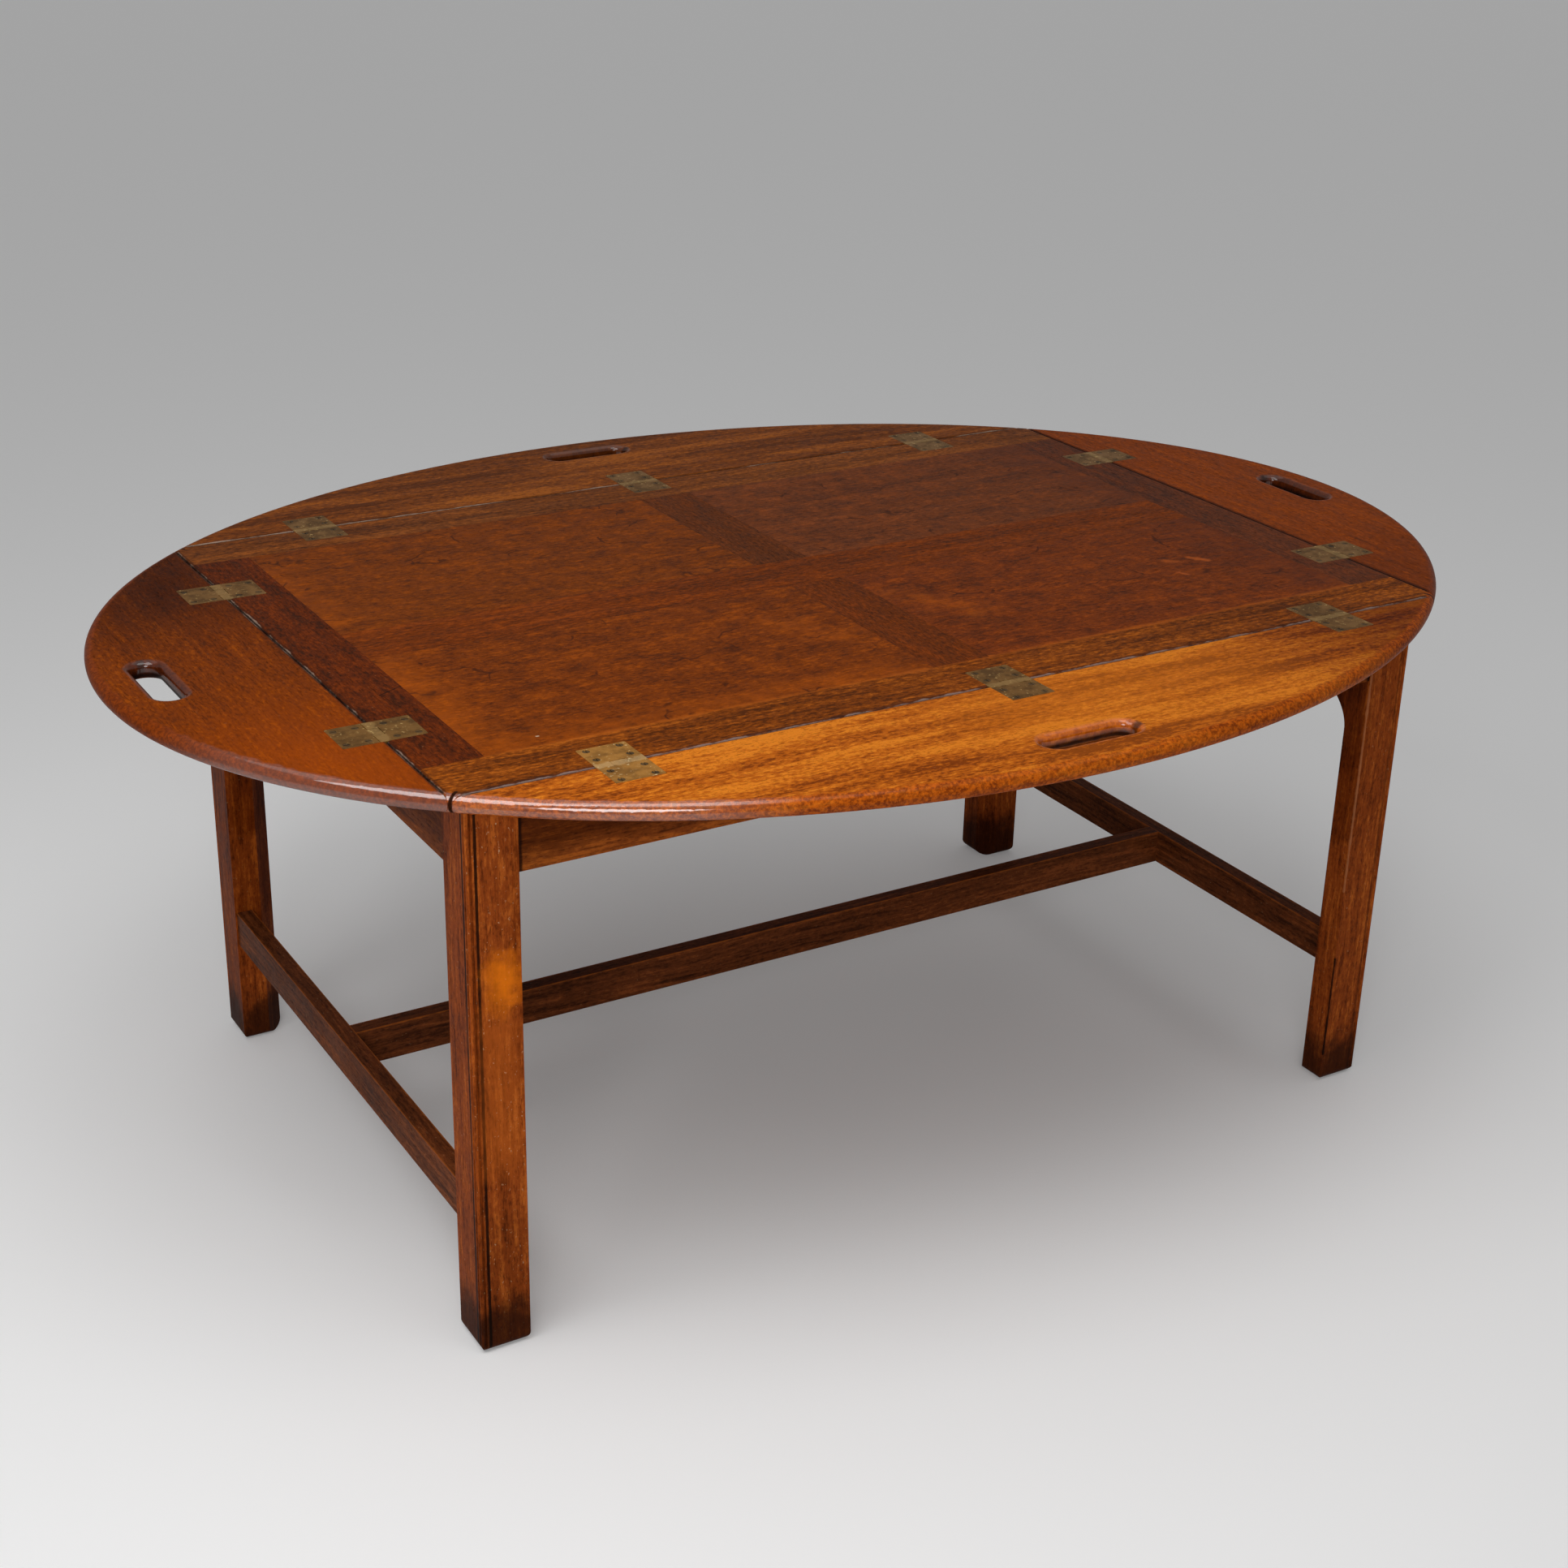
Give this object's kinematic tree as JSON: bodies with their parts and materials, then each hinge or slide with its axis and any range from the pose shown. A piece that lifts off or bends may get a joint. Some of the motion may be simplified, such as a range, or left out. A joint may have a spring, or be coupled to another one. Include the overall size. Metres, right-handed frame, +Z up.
{
  "type": "butlers tray table",
  "caption": "Oval butler's tray coffee table in mahogany: a framed tray with four hinged flaps, hand-holds and brass hinges, resting on a square-legged stand with stretchers.",
  "frame": {"origin": "on the floor under the middle of the table", "axes": "+X along the table's long side, -Y is the front seen in the picture, +Z is up"},
  "size_m": [1.234, 0.9268, 0.48],
  "materials": {
    "mahogany_flaps": "polished",
    "mahogany_panels": "polished",
    "mahogany_stand": "polished",
    "aged_brass": "aged",
    "spring_steel": "plain",
    "steel": "plain"
  },
  "bodies": {
    "stand": {"frieze_rail_back": "mahogany_stand", "frieze_rail_front": "mahogany_stand", "frieze_rail_left": "mahogany_stand", "frieze_rail_right": "mahogany_stand", "leg_back_left": "mahogany_stand", "leg_back_right": "mahogany_stand", "leg_front_left": "mahogany_stand", "leg_front_right": "mahogany_stand", "stretcher_left": "mahogany_stand", "stretcher_long": "mahogany_stand", "stretcher_right": "mahogany_stand"},
    "tray": {"cleat_screws": "steel", "hinge_back_left_tray_leaf": "aged_brass", "hinge_back_middle_tray_leaf": "aged_brass", "hinge_back_right_tray_leaf": "aged_brass", "hinge_front_left_tray_leaf": "aged_brass", "hinge_front_middle_tray_leaf": "aged_brass", "hinge_front_right_tray_leaf": "aged_brass", "hinge_left_back_tray_leaf": "aged_brass", "hinge_left_front_tray_leaf": "aged_brass", "hinge_pins_back": "aged_brass", "hinge_pins_front": "aged_brass", "hinge_pins_left": "aged_brass", "hinge_pins_right": "aged_brass", "hinge_right_back_tray_leaf": "aged_brass", "hinge_right_front_tray_leaf": "aged_brass", "hinge_screws_tray": "aged_brass", "hinge_springs": "spring_steel", "tray_cleat_back": "mahogany_panels", "tray_cleat_front": "mahogany_panels", "tray_mid_rail": "mahogany_panels", "tray_muntin_back": "mahogany_panels", "tray_muntin_front": "mahogany_panels", "tray_panel_back_left": "mahogany_panels", "tray_panel_back_right": "mahogany_panels", "tray_panel_front_left": "mahogany_panels", "tray_panel_front_right": "mahogany_panels", "tray_rail_back": "mahogany_flaps", "tray_rail_front": "mahogany_flaps", "tray_stile_left": "mahogany_panels", "tray_stile_right": "mahogany_panels"},
    "front_flap": {"flap_front": "mahogany_flaps", "hinge_front_left_flap_leaf": "aged_brass", "hinge_front_middle_flap_leaf": "aged_brass", "hinge_front_right_flap_leaf": "aged_brass", "hinge_screws_flap_front": "aged_brass"},
    "back_flap": {"flap_back": "mahogany_flaps", "hinge_back_left_flap_leaf": "aged_brass", "hinge_back_middle_flap_leaf": "aged_brass", "hinge_back_right_flap_leaf": "aged_brass", "hinge_screws_flap_back": "aged_brass"},
    "left_flap": {"flap_left": "mahogany_flaps", "hinge_left_back_flap_leaf": "aged_brass", "hinge_left_front_flap_leaf": "aged_brass", "hinge_screws_flap_left": "aged_brass"},
    "right_flap": {"flap_right": "mahogany_flaps", "hinge_right_back_flap_leaf": "aged_brass", "hinge_right_front_flap_leaf": "aged_brass", "hinge_screws_flap_right": "aged_brass"}
  },
  "joints": [
    {"name": "tray_lift", "type": "slide", "parent": "stand", "child": "tray", "axis": [0, 0, 1], "range_m": [0, 0.25]},
    {"name": "front_flap_hinge", "type": "hinge", "parent": "tray", "child": "front_flap", "pos_m": [0, -0.3065, 0.4784], "axis": [-1, 0, 0], "range_deg": [0, 90]},
    {"name": "back_flap_hinge", "type": "hinge", "parent": "tray", "child": "back_flap", "pos_m": [0, 0.3065, 0.4784], "axis": [1, 0, 0], "range_deg": [0, 90]},
    {"name": "left_flap_hinge", "type": "hinge", "parent": "tray", "child": "left_flap", "pos_m": [-0.465, 0, 0.4784], "axis": [0, 1, 0], "range_deg": [0, 90]},
    {"name": "right_flap_hinge", "type": "hinge", "parent": "tray", "child": "right_flap", "pos_m": [0.465, 0, 0.4784], "axis": [0, -1, 0], "range_deg": [0, 90]}
  ]
}
